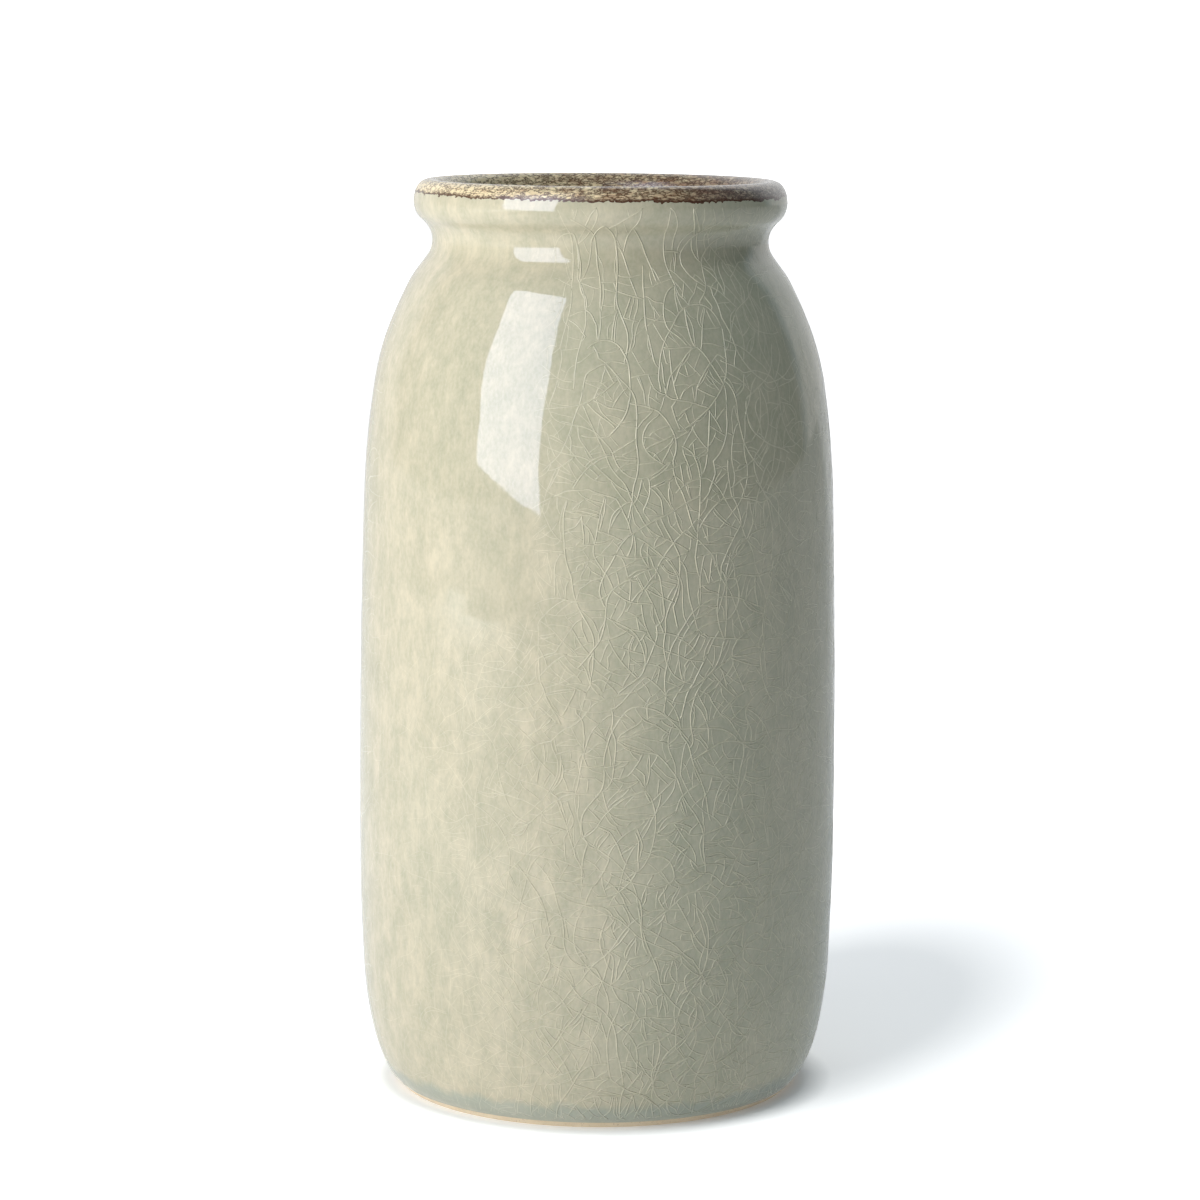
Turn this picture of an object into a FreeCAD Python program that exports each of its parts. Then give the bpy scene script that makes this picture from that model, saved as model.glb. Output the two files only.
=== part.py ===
import FreeCAD, Part
import math
import os

# A tall jar-shaped flower vase of crackle-glazed stoneware, in millimetres.
# The axis of the vase is Z and the foot stands on Z = 0, centred on the origin.
# The pot is one hollow of fired clay. Three coats lie on it face to face: a glaze
# outside, a glaze inside, and a band of iron wash that goes over the lip.

# Overall sizes
overall_height = 300.0
belly_radius = 79.2

# Turned foot: a ring of bare clay round a shallow recess
foot_radius = 66.0
foot_ring_width = 7.5
foot_edge_bevel = 0.6
foot_recess_depth = 2.5
foot_recess_taper = 1.5

# Heel: the ring where the outer glaze stops, just above the foot
heel_radius = 67.9
heel_height = 2.0

# Body: the ring where the curve of the heel ends, and the ring where the shoulder begins
heel_curve_height = 42.0
heel_curve_inset = 1.1
shoulder_drop = 105.0
shoulder_inset = 1.6

# Collar: the soft edge where the shoulder turns into the neck
collar_radius = 59.85
collar_drop = 29.0

# Neck: the narrowest ring outside
neck_radius = 55.2
neck_drop = 20.0

# Rolled lip: its widest ring outside, its crest and its narrowest ring inside
lip_radius = 61.3
lip_drop = 7.3
lip_outer_roll = 5.5
lip_inner_roll = 6.0
mouth_drop = 8.5

# Where the iron wash ends, as angles round the roll of the lip from level upwards
wash_outside_degrees = 14.0
wash_inside_degrees = 33.0

# Walls
clay_thickness = 6.0
glaze_thickness = 0.7
floor_thickness = 8.0
floor_sweep_width = 27.0

# The widest ring, as a share of the way up from the top of the heel's curve to the shoulder
belly_share = 0.314

# Rings of the curved ends of the body, each as its share of the change in height and of
# the change in radius, on the way down to the heel and on the way up to the collar
heel_curve_shares = [(0.6, 0.314), (0.9, 0.735)]
shoulder_curve_shares = [(0.487, 0.18), (0.776, 0.513), (0.934, 0.822)]

# Heights and radii that follow from the sizes above
shoulder_height = overall_height - shoulder_drop
belly_height = heel_curve_height + belly_share * (shoulder_height - heel_curve_height)
collar_height = overall_height - collar_drop
neck_height = overall_height - neck_drop
lip_height = overall_height - lip_drop
mouth_height = overall_height - mouth_drop
crest_radius = lip_radius - lip_outer_roll
wall_thickness = clay_thickness + 2 * glaze_thickness
floor_height = foot_recess_depth + floor_thickness

UP = FreeCAD.Vector(0, 0, 1)
DOWN = FreeCAD.Vector(0, 0, -1)
INWARD = FreeCAD.Vector(-1, 0, 0)
FULL_TURN = 360


def at(radius, height):
    """The point of the half section at this radius and height."""
    return FreeCAD.Vector(radius, 0, height)


def between(start, end, shares):
    """Points from start to end, each at its shares of the change in height and in radius."""
    reach = end - start
    middle = [at(start.x + out * reach.x, start.z + rise * reach.z) for rise, out in shares]
    return [start] + middle + [end]


def around_lip(half_width, drop, degrees):
    """The point of the lip this far round the ellipse under its crest, from the outside."""
    turn = math.radians(degrees)
    return at(crest_radius + half_width * math.cos(turn), overall_height - drop + drop * math.sin(turn))


def arrival(start, way, end):
    """The direction in which an arc reaches end when it leaves start in the direction way.

    An arc leaves and arrives at the same angle to its chord, so the way is mirrored.
    """
    chord = end - start
    along = chord / chord.Length
    return along * (2 * way.dot(along)) - way


def chain(points, way):
    """Stations, each a point and the direction there, for arcs that follow on smoothly."""
    stations = [(points[0], way)]
    for start, end in zip(points, points[1:]):
        way = arrival(start, way, end)
        stations.append((end, way))
    return stations


def bridge(first, last):
    """The stations first and last with one between them, so that two arcs join all three.

    The tangents at both ends are given the same length, and the middle station halves
    the line between their tips.
    """
    start, start_way = first
    end, end_way = last
    span = end - start
    pull = span.dot(start_way + end_way)
    spread = 2 * (1 - start_way.dot(end_way))
    tangent = span.dot(span) / (pull + math.sqrt(pull * pull + spread * span.dot(span)))
    junction = (start + start_way * tangent + end - end_way * tangent) / 2
    return [first, (junction, arrival(start, start_way, junction)), last]


def backwards(stations):
    """The same stations met from the other end."""
    return [(point, way * -1) for point, way in reversed(stations)]


def sunk(stations, depth):
    """The stations moved into the wall, which lies on the left of the way they run."""
    return [(point + at(-way.z, way.x) * depth, way) for point, way in stations]


def arcs(stations):
    """The edges that run through the stations, one arc from each to the next."""
    edges = []
    for (start, way), (end, _) in zip(stations, stations[1:]):
        chord = end - start
        along = chord / chord.Length
        lean = way.dot(along)
        bulge = (way - along * lean) * (chord.Length / 2 / (1 + lean))
        edges.append(Part.Arc(start, start + chord / 2 + bulge, end).toShape())
    return edges


def lines(points):
    """The straight edges that run through the points."""
    return [Part.LineSegment(start, end).toShape() for start, end in zip(points, points[1:])]


def turned(edges):
    """The solid that a closed chain of edges sweeps in one turn round the axis."""
    section = Part.Face(Part.Wire(edges))
    return section.revolve(at(0, 0), UP, FULL_TURN)


def outside_skin():
    """Stations up the outside, from the heel to the lower edge of the wash."""
    belly = at(belly_radius, belly_height)
    heel = at(heel_radius, heel_height)
    heel_curve_top = at(belly_radius - heel_curve_inset, heel_curve_height)
    shoulder = at(belly_radius - shoulder_inset, shoulder_height)
    collar = at(collar_radius, collar_height)
    neck = (at(neck_radius, neck_height), UP)
    lip = (at(lip_radius, lip_height), UP)
    wash_edge = around_lip(lip_outer_roll, lip_drop, wash_outside_degrees)
    stations = backwards(chain([belly] + between(heel_curve_top, heel, heel_curve_shares), DOWN))
    stations += chain([belly] + between(shoulder, collar, shoulder_curve_shares), UP)[1:]
    stations += bridge(stations[-1], neck)[1:]
    stations += bridge(neck, lip)[1:]
    stations += chain([lip[0], wash_edge], UP)[1:]
    return stations


def inside_skin():
    """Stations down the inside, from the lower edge of the wash to the flat of the floor.

    Below the throat the inside follows the outside at the thickness of the wall, and
    from the belly down it sweeps into the floor, so the heel is left thick.
    """
    mouth = (at(crest_radius - lip_inner_roll, mouth_height), DOWN)
    wash_edge = around_lip(-lip_inner_roll, mouth_drop, wash_inside_degrees)
    stations = backwards(chain([mouth[0], wash_edge], UP))
    follows = [station for station in outside_skin() if belly_height <= station[0].z <= neck_height]
    wall = backwards(sunk(follows, wall_thickness))
    floor_edge_radius = wall[-1][0].x - floor_sweep_width
    floor_edge = (at(floor_edge_radius, floor_height + glaze_thickness), INWARD)
    stations += bridge(mouth, wall[0])[1:]
    stations += wall[1:]
    stations += bridge(wall[-1], floor_edge)[1:]
    return stations


def washed_skin():
    """Stations over the crest of the lip, from one edge of the wash to the other."""
    crest = (at(crest_radius, overall_height), INWARD)
    return bridge(outside_skin()[-1], crest) + bridge(crest, inside_skin()[0])[1:]


def coat(skin):
    """The edges round a coat of glaze: its finished skin and the clay side under it."""
    under = backwards(sunk(skin, glaze_thickness))
    last_end = lines([skin[-1][0], under[0][0]])
    first_end = lines([under[-1][0], skin[0][0]])
    return arcs(skin) + last_end + arcs(under) + first_end


def clay_body():
    """The fired pot: foot ring, floor, wall, neck and lip, with the clay bare below the heel."""
    skin = outside_skin() + washed_skin()[1:] + inside_skin()[1:]
    clay = sunk(skin, glaze_thickness)
    foot_inner_radius = foot_radius - foot_ring_width
    foot = lines([
        at(0, floor_height),
        at(0, foot_recess_depth),
        at(foot_inner_radius - foot_recess_taper, foot_recess_depth),
        at(foot_inner_radius, foot_edge_bevel),
        at(foot_inner_radius + foot_edge_bevel, 0),
        at(foot_radius - foot_edge_bevel, 0),
        at(foot_radius, foot_edge_bevel),
        clay[0][0],
    ])
    floor = lines([clay[-1][0], at(0, floor_height)])
    return turned(foot + arcs(clay) + floor)


def outer_glaze():
    """The crackle glaze outside, from above the bare foot up to the wash."""
    return turned(coat(outside_skin()))


def rim_wash():
    """The iron wash over the lip, from its edge outside to its edge in the mouth."""
    return turned(coat(washed_skin()))


def liner_glaze():
    """The plain glaze that lines the inside, from the wash down over the floor."""
    skin = inside_skin()
    under = sunk(skin, glaze_thickness)
    floor = lines([skin[-1][0], at(0, floor_height + glaze_thickness), at(0, floor_height), under[-1][0]])
    wash_end = lines([under[0][0], skin[0][0]])
    return turned(arcs(skin) + floor + arcs(backwards(under)) + wash_end)


os.makedirs("parts", exist_ok=True)
for make in (clay_body, outer_glaze, rim_wash, liner_glaze):
    solid = make()
    solid.exportStep("parts/" + make.__name__ + ".step")
    print(make.__name__, "holds", round(solid.Volume), "cubic millimetres, valid:", solid.isValid())
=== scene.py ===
# %% [markdown]
# # A jar-shaped vase of crackle-glazed stoneware
#
# The real vase is thrown on a wheel, dipped in a soft green-grey glaze and brushed with iron
# round the lip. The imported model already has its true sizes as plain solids. This lesson
# dresses them: it rebuilds the glaze outside, the glaze inside and the iron wash as finer
# surfaces, lays the raised craze lines on them, paints every finish with nodes, and sets up
# the photograph's light and camera.

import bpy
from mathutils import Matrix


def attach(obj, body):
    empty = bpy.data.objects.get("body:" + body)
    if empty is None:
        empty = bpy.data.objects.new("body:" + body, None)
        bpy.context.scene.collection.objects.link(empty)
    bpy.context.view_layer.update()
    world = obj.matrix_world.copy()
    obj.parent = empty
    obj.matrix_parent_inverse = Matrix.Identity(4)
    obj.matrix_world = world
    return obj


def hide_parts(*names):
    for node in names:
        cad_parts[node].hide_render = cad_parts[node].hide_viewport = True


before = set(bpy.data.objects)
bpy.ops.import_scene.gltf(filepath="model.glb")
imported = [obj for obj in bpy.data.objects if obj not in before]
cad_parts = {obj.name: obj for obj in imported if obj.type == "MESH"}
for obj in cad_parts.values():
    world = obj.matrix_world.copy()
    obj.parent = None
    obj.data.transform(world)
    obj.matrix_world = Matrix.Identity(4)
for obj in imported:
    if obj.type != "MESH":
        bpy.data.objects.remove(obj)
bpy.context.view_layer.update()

# %% [markdown]
# Blender measures in metres and a potter in millimetres. Every size of the vase is in
# millimetres here, and is turned into metres only where a mesh or a pattern is made.

# %% Blender, numpy and two units
import math

import bpy
import numpy as np
from mathutils import Matrix

MM = 0.001
FULL_TURN = 2 * math.pi
print("Blender", bpy.app.version_string)

# %% [markdown]
# ## The camera
#
# A photograph of a vase is taken from a little above its rim, with a long lens so that its
# sides stay upright. The camera could be placed by eye. Here its place, its tilt and its lens
# come from the ellipses of the rim and the foot: how flat each one looks says from how high
# it is seen, and how much flatter the rim is than the foot says from how far.

# %% Set the camera at the photograph's viewpoint
camera_place = (0.0007, -1.2688, 0.351)
camera_down_degrees = 8.51
camera_roll_degrees = 0.38

camera = bpy.data.objects.new("camera", bpy.data.cameras.new("camera"))
camera.data.sensor_width = 36
camera.data.lens = 116.2
tilt = Matrix.Rotation(math.radians(90 - camera_down_degrees), 4, "X")
roll = Matrix.Rotation(math.radians(camera_roll_degrees), 4, "Z")
camera.matrix_world = Matrix.Translation(camera_place) @ tilt @ roll
bpy.context.scene.collection.objects.link(camera)
bpy.context.scene.camera = camera
print("Camera", camera_place, "m, lens", camera.data.lens, "mm")

# %% [markdown]
# ## The profile
#
# A thrown pot is one line turned round an axis, so its whole shape is that line. It could be
# a spline, but a potter's line is a run of arcs that flow into each other, and arcs can be
# given by a few rings that are easy to measure: a radius and a height. Each ring is written
# as one complex number, radius + height j, because turning a direction is then only a
# multiplication.

# %% Arcs that follow on from each other
UP = 1j
DOWN = -1j
INWARD = -1.0


def arrival(start, way, end):
    """Direction at the end of an arc: the direction at its start, mirrored in the chord."""
    chord = end - start
    return (chord / abs(chord)) ** 2 * np.conj(way)


def chain(points, way):
    """Stations (point, direction) of arcs that leave the first point in the direction way."""
    stations = [(points[0], way)]
    for start, end in zip(points, points[1:]):
        way = arrival(start, way, end)
        stations.append((end, way))
    return stations


def bridge(first, last):
    """Adds a station between two others so that two arcs join all three.

    Both ends get tangents of one length, and the new point halves the line between their tips.
    """
    (start, start_way), (end, end_way) = first, last
    span = end - start
    pull = (np.conj(span) * (start_way + end_way)).real
    spread = 2 - 2 * (np.conj(start_way) * end_way).real
    reach = abs(span) ** 2 / (pull + math.sqrt(pull * pull + spread * abs(span) ** 2))
    middle = (start + start_way * reach + end - end_way * reach) / 2
    return [first, (middle, arrival(start, start_way, middle)), last]


print("An arc that leaves upwards and bends a quarter turn arrives going", arrival(1, UP, 1j))

# %% [markdown]
# A coat has two sides, so the same run of arcs is also needed backwards and sunk into the
# wall. Then it is cut into points: more of them where an arc is tight, as on the lip.

# %% Turn a run round, sink it, cut it into points
def backwards(stations):
    """The same stations met from the other end."""
    return [(point, -way) for point, way in reversed(stations)]


def sunk(stations, depth):
    """The stations moved into the wall, which lies on the left of the way they run."""
    return [(point + way * 1j * depth, way) for point, way in stations]


def drawn(stations, spacing, bend=0.2):
    """Points along the arcs, at most one spacing and bend radians of turn apart.

    A chord that leaves the start at a share s of the arc's angle a points along way·exp(i·s·a)
    and is sin(s·a)/sin(a) times as long as the whole chord.
    """
    points = [np.array([stations[0][0]])]
    for (start, way), (end, _) in zip(stations, stations[1:]):
        chord = end - start
        angle = np.angle(chord / way)
        steps = math.ceil(max(abs(chord) / spacing, 2 * abs(angle) / bend, 1))
        share = np.linspace(0, 1, steps + 1)[1:]
        length = abs(chord) * share * np.sinc(share * angle / np.pi) / np.sinc(angle / np.pi)
        points.append(start + length * way * np.exp(1j * share * angle))
    return np.concatenate(points)


quarter_circle = chain([1 + 0j, 1j], UP)
print("A quarter circle is drawn in", len(drawn(quarter_circle, 1.0)), "points")

# %% [markdown]
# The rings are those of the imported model: the widest one, four down the curve of the heel,
# five up the shoulder to the soft edge under the neck, and then neck, lip, crest and mouth.

# %% The rings of this vase, and its outside
belly = 79.2 + 90.04j
heel_rings = [78.1 + 42.0j, 74.9 + 18.0j, 70.6 + 6.0j, 67.9 + 2.0j]
shoulder_rings = [77.6 + 195.0j, 74.41 + 232.0j, 68.49 + 254.0j, 63.01 + 266.0j, 59.85 + 271.0j]
neck = (55.2 + 280.0j, UP)
lip = (61.3 + 292.7j, UP)
crest = (55.8 + 300.0j, INWARD)
mouth = (49.8 + 291.5j, DOWN)

outside = backwards(chain([belly] + heel_rings, DOWN))
outside += chain([belly] + shoulder_rings, UP)[1:]
outside += bridge(outside[-1], neck)[1:]
outside += bridge(neck, lip)[1:]
outside += bridge(lip, crest)[1:]
print("The outside has", len(outside), "stations, from heel to crest")

# %% [markdown]
# A thrown wall is even, so the inside follows the outside at the thickness of the wall. From
# the belly down it leaves the wall and sweeps into the flat of the floor.

# %% The inside, which follows the outside
glaze_thickness = 0.7
wall_thickness = 7.4
floor_top = 11.2
floor_sweep = 27.0

walls = [station for station in outside if belly.imag <= station[0].imag <= neck[0].imag]
walls = backwards(sunk(walls, wall_thickness))
floor_edge = (walls[-1][0].real - floor_sweep + floor_top * 1j, INWARD)
inside = bridge(crest, mouth)
inside += bridge(mouth, walls[0])[1:]
inside += walls[1:]
inside += bridge(walls[-1], floor_edge)[1:]
print("The inside has", len(inside), "stations, from crest to floor")

# %% [markdown]
# ## Turning a profile into a skin
#
# Blender's Screw modifier could turn a line round the axis. Working the grid out with numpy
# gives the same surface and leaves room for what the wheel and the kiln add: a height above
# the smooth form, different at each point. The grid has one row per point of the profile and
# one column per direction round the axis.

# %% Resample a line and turn it
def resampled(line, rows):
    """The line cut into equal steps of arc length: each coordinate as a function of length."""
    length = np.concatenate([[0.0], np.cumsum(abs(np.diff(line)))])
    even = np.linspace(0, length[-1], rows)
    return np.interp(even, length, line.real) + 1j * np.interp(even, length, line.imag)


def outward(line):
    """Unit normals of the profile: the direction of each step turned a quarter to the right."""
    step = np.gradient(line)
    return -1j * step / abs(step)


def turned(line, columns, height=0.0):
    """Grid of points: the profile, pushed along its normals by height, turned round the axis.

    x = radius·cos(turn), y = radius·sin(turn), z = height of the profile, in metres.
    """
    turn = np.arange(columns) * FULL_TURN / columns
    pushed = line[:, None] + outward(line)[:, None] * height
    pushed = np.broadcast_to(pushed, (len(line), columns)) * MM
    return np.stack([pushed.real * np.cos(turn), pushed.real * np.sin(turn), pushed.imag], axis=-1)


flat_ring = turned(resampled(np.array([10, 30 + 0j]), 3), 8)
print("A flat ring of 3 rows and 8 columns is an array of", flat_ring.shape)

# %% [markdown]
# A mesh is a list of points and a list of faces that name them. Each new piece keeps its object at
# the origin, rides on the one body of the vase, and hides the imported solid it stands for.

# %% Put a grid into a mesh
def add_piece(name, points, faces, slot, *nodes):
    """A mesh object at the origin from points and faces, which rides on the vase's one body."""
    mesh = bpy.data.meshes.new(name)
    mesh.from_pydata(points, [], faces)
    mesh.polygons.foreach_set("use_smooth", np.ones(len(mesh.polygons), bool))
    mesh.update()
    piece = bpy.data.objects.new(name, mesh)
    bpy.context.scene.collection.objects.link(piece)
    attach(piece, "root")
    if nodes:
        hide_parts(*nodes)
    print(name, "has", len(points), "points and", len(faces), "faces")
    return piece


def grid_faces(rows, columns, closed_rows):
    """Quads between neighbours of the grid, which closes round the axis and, if asked, along
    the profile. Each runs round, then along, so that it faces away from the wall."""
    index = np.arange(rows * columns).reshape(rows, columns)
    if closed_rows:
        index = np.vstack([index, index[:1]])
    near, far = index[:-1], index[1:]
    corners = [near, np.roll(near, -1, axis=1), np.roll(far, -1, axis=1), far]
    return np.stack(corners, axis=-1).reshape(-1, 4)


print("Faces of a square tube:", grid_faces(2, 4, closed_rows=False).tolist())

# %% [markdown]
# ## What the wheel and the kiln leave on the surface
#
# Fingers leave faint rings in the clay, and molten glaze runs and settles in soft waves. They
# are a few hundredths of a millimetre high, too low to see as a shape, but they bend the
# edge of every reflection, and without them the vase looks like plastic. A sum of waves in
# every direction, each closed round the girth, gives such a surface without any image.

# %% Soft waves round the vase
def waves(turn, rise, seed, count, shortest, longest, stretch):
    """Sum of count sine waves round the vase (turn, radians) and up it (rise, mm).

    Their lengths lie between shortest and longest, a stretch above 1 draws them out upwards,
    and the sum is scaled so that it reaches about 1 either way.
    """
    chance = np.random.default_rng(seed)
    frequency = FULL_TURN / np.exp(chance.uniform(math.log(shortest), math.log(longest), count))
    bearing = chance.uniform(0, FULL_TURN, count)
    start = chance.uniform(0, FULL_TURN, count)
    total = np.zeros(np.broadcast_shapes(np.shape(turn), np.shape(rise)))
    for f, b, s in zip(frequency, bearing, start):
        round_girth = round(f * math.cos(b) * belly.real)
        total += np.sin(round_girth * turn + f * math.sin(b) / stretch * rise + s)
    return total * math.sqrt(2 / count) / 2


print("Waves at four places:", waves(np.arange(4), 0.0, 1, 20, 10, 50, 1.0).round(2))

# %% [markdown]
# On the glaze outside, pools 18 to 60 mm long are the highest, drawn-out runs lie over them,
# and the rings of the fingers, 9 mm apart, hardly show. All of it dies away towards the
# crest, so that the glaze never comes up through the wash.

# %% Waves of the glaze outside
pool_height = 0.050
run_height = 0.014
ring_height = 0.004
ring_spacing = 9.0
calm_from = 299.0
calm_over = 8


def glaze_waves(turn, rise):
    """Height in mm of the glaze above its smooth form: soft pools, drawn-out runs and rings."""
    pools = waves(turn, rise, 3, 40, 18, 60, 1.0)
    runs = waves(turn, rise, 8, 40, 7, 16, 3.0)
    rings = np.sin(rise * FULL_TURN / ring_spacing + 1.5 * waves(turn, rise, 5, 12, 60, 200, 1.0))
    calm = np.clip((calm_from - rise) / calm_over, 0, 1)
    return (pool_height * pools + run_height * runs + ring_height * rings) * calm


print("Waves reach about", round(pool_height + run_height + ring_height, 3), "mm either way")

# %% [markdown]
# ## The crackle glaze outside
#
# The coat is 0.7 mm thick. It ends 2 mm above the table in a rounded bead, where the molten
# glaze stopped, and runs up under the iron wash on the lip. The grid is closed: it goes up the
# skin, over the end and down the side that lies on the clay. The skin lies 0.25 mm inside the
# packed size, so that its waves and the raised craze lines stay within it.

# %% Outside skin, the side on the clay, and the bead between them
set_in = 0.25
skin_spacing = 1.6
back_spacing = 40.0

skin_line = drawn(sunk(outside, set_in), skin_spacing, bend=0.08)
skin_rows = len(skin_line)
back_line = drawn(backwards(sunk(outside, glaze_thickness)), back_spacing)
bead_centre = (back_line[-1] + skin_line[0]) / 2
bead_spoke = back_line[-1] - bead_centre
bead_line = bead_centre + bead_spoke * np.exp(1j * np.linspace(0, np.pi, 7)[1:-1])
glaze_loop = np.concatenate([skin_line, back_line, bead_line])
rise = np.concatenate([[0.0], np.cumsum(abs(np.diff(skin_line)))])
print("The skin is", round(rise[-1], 1), "mm long from bead to crest")

# %% Glaze coat
glaze_columns = 350

girth = np.arange(glaze_columns) * FULL_TURN / glaze_columns
relief = np.zeros((len(glaze_loop), glaze_columns))
relief[:skin_rows] = glaze_waves(girth, rise[:, None])
glaze = add_piece(
    "crackle_glaze_coat",
    turned(glaze_loop, glaze_columns, relief).reshape(-1, 3),
    grid_faces(len(glaze_loop), glaze_columns, closed_rows=True),
    "crackle_glaze",
    "outer_glaze",
)

# %% [markdown]
# ## The glaze inside
#
# The potter pours the same glaze in and out again, so the inside is smooth and plain. The
# grid starts in the middle under the floor, comes up the clay side, turns at the crest and
# goes down the wall to the middle of the floor. A grid can't close on the axis itself, so it
# stops 0.4 mm from it, and a fan of triangles closes each end.

# %% Inside skin
liner_spacing = 0.5
pole_gap = 0.4


def to_axis(stations, rows):
    """Points along the arcs and on, level, to the gap at the axis, in equal steps."""
    line = drawn(stations, liner_spacing)
    return resampled(np.append(line, pole_gap + line[-1].imag * 1j), rows)


liner_back = to_axis(sunk(inside, glaze_thickness), 60)[::-1]
liner_line = np.concatenate([liner_back, to_axis(sunk(inside, set_in), 220)])
liner_rows = len(liner_line)
print("The liner's profile has", liner_rows, "rows")

# %% Liner coat, with a fan at each pole
liner_columns = 256

liner_grid = turned(liner_line, liner_columns).reshape(-1, 3)
poles = [[0, 0, liner_line[0].imag * MM], [0, 0, liner_line[-1].imag * MM]]
first_ring = np.arange(liner_columns)
last_ring = first_ring + (liner_rows - 1) * liner_columns
under_pole = np.full(liner_columns, liner_rows * liner_columns)
under_fan = np.stack([under_pole, np.roll(first_ring, -1), first_ring], axis=-1)
floor_fan = np.stack([last_ring, np.roll(last_ring, -1), under_pole + 1], axis=-1)
liner_quads = grid_faces(liner_rows, liner_columns, closed_rows=False)
liner = add_piece(
    "liner_glaze_coat",
    np.vstack([liner_grid, poles]),
    liner_quads.tolist() + under_fan.tolist() + floor_fan.tolist(),
    "liner_glaze",
    "liner_glaze",
)

# %% [markdown]
# ## The iron wash round the lip
#
# A brush loaded with iron oxide goes once round the lip, over the raw glaze. In the kiln it
# eats into the glaze and stops in a ragged edge a few millimetres below the crest. The band
# could be painted on the glaze, but then its edge would only be a colour. Here it is a thin
# skin that follows the lip. Where the wash is, it stands half a tenth of a millimetre proud,
# and where it isn't, it dips below the glaze, so its outline is the line where the two
# surfaces cut each other.

# %% The band over the lip
wash_columns = 1040
wash_spacing = 0.34
wash_detail = 0.05

lip_arc = [station for station in outside if station[0].imag >= lip[0].imag]
lip_line = drawn(backwards(chain([lip[0], 60.9 + 290.6j], DOWN))[:-1] + lip_arc, wash_detail)
mouth_line = drawn(bridge(crest, mouth) + [(49.6 + 288.0j, DOWN)], wash_detail)
wash_line = np.concatenate([lip_line, mouth_line[1:]])
wash_length = abs(np.diff(wash_line)).sum()
wash_rows = round(wash_length / wash_spacing)
wash_line = resampled(wash_line, wash_rows)
wash_line = wash_line - outward(wash_line) * set_in
wash_turn = np.arange(wash_columns) * FULL_TURN / wash_columns
wash_rise = np.linspace(0, wash_length, wash_rows)[:, None]
print("Wash band", round(wash_length, 1), "mm over the lip in", wash_rows, "rows")

# %% [markdown]
# The lower edge lies at about 295.3 mm, half a millimetre lower on one side because no hand
# is steady, with swells from the brush and short ragged steps. The edge in the mouth wanders
# more. How far a place lies inside both edges gives the depth of the wash there, which is
# full from 1.2 mm inside them.

# %% Where the wash ends
full_depth_from = 1.2

edge_height = 295.3 - 0.5 * np.cos(wash_turn) + 0.20 * waves(wash_turn, 0.0, 21, 30, 12, 90, 1.0)
edge_height = edge_height + 0.22 * waves(wash_turn, 0.0, 22, 40, 2.5, 9, 1.0)
lower_rows = slice(0, wash_rows // 3)
lower_edge = np.interp(edge_height, wash_line.imag[lower_rows], wash_rise[lower_rows, 0])
upper_edge = wash_length - 3.0 + waves(wash_turn, 0.0, 23, 30, 4, 60, 1.0) * 1.2
speckle = waves(wash_turn, wash_rise, 24, 60, 1.4, 5, 0.7)
inwards = np.minimum(wash_rise - lower_edge, upper_edge - wash_rise) + 0.35 * speckle
wash_depth = np.clip(inwards / full_depth_from, -1, 1)
print("The wash covers", round((wash_depth > 0).mean() * 100), "% of its band")

# %% Wash band, with its depth kept on the mesh for its colours
wash_proud = 0.055
wash_grain = 0.01
wash_thickness = 0.35

wash_relief = wash_proud * wash_depth
wash_relief = wash_relief + wash_grain * waves(wash_turn, wash_rise, 25, 60, 1.2, 4, 0.6)
wash_back = resampled(wash_line - outward(wash_line) * wash_thickness, 12)[::-1]
wash_loop = np.concatenate([wash_line, wash_back])
wash_heights = np.zeros((len(wash_loop), wash_columns))
wash_heights[:wash_rows] = np.minimum(wash_relief, set_in)
wash = add_piece(
    "iron_wash_band",
    turned(wash_loop, wash_columns, wash_heights).reshape(-1, 3),
    grid_faces(len(wash_loop), wash_columns, closed_rows=True),
    "iron_wash",
    "rim_wash",
)
depth_everywhere = np.full((len(wash_loop), wash_columns), -1.0)
depth_everywhere[:wash_rows] = wash_depth
depth_layer = wash.data.attributes.new("wash_depth", "FLOAT", "POINT")
depth_layer.data.foreach_set("value", depth_everywhere.ravel())

# %% [markdown]
# ## The craze lines
#
# As the vase cools, the glaze shrinks more than the clay and cracks. The first cracks run far.
# Later ones start from an older crack, square to it, and run until they meet another, so the
# net gets finer and has T-shaped joints. A Voronoi texture could draw cells, but its sides are
# straight and three always meet in a point. Here the lines are grown as cracks are: points walk
# over the glaze in small steps, turn a little at each one, mark where they have been, and stop
# at another line's mark. All points of one age walk at once, so a step is a line of numpy.

# %% A map of the glaze on which cracks leave marks
stride = 0.5
mark_size = 0.5
glaze_girth = FULL_TURN * belly.real
marks = np.zeros((int(rise[-1] / mark_size) + 3, int(glaze_girth / mark_size) + 1), int)
print("The map has", marks.shape[0], "by", marks.shape[1], "places")


def mark_at(across, up):
    """Row and column on the map of places in mm round the vase and up it."""
    row = np.clip(up / mark_size, 0, marks.shape[0] - 1).astype(int)
    return row, np.floor(across / mark_size).astype(int) % marks.shape[1]


def others_aside(x, y, angle, name, distance):
    """1 where another crack lies this far to the right, -1 where it lies to the left."""
    sideways, upwards = distance * np.cos(angle), distance * np.sin(angle)
    right = marks[mark_at(x + sideways, y - upwards)]
    left = marks[mark_at(x - sideways, y + upwards)]
    return ((right != 0) & (right != name)).astype(int) - ((left != 0) & (left != name))


# %% [markdown]
# A crack wanders because the glaze isn't even, kinks now and then at a bubble, and is drawn
# in by an older one close beside it, where the glaze is already slack. One that crosses the
# others is drawn in less. The angles are in radians for each stride of half a millimetre.

# %% Let lines grow over the glaze
wander_kept = 0.93
wander = 0.012
kink_chance = 0.03
kink = 0.5
near_aside, far_aside = 1.3, 2.2
drawn_in, drawn_in_crossing = 0.12, 0.03
bare_low, bare_high = 1.5, 9


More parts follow.
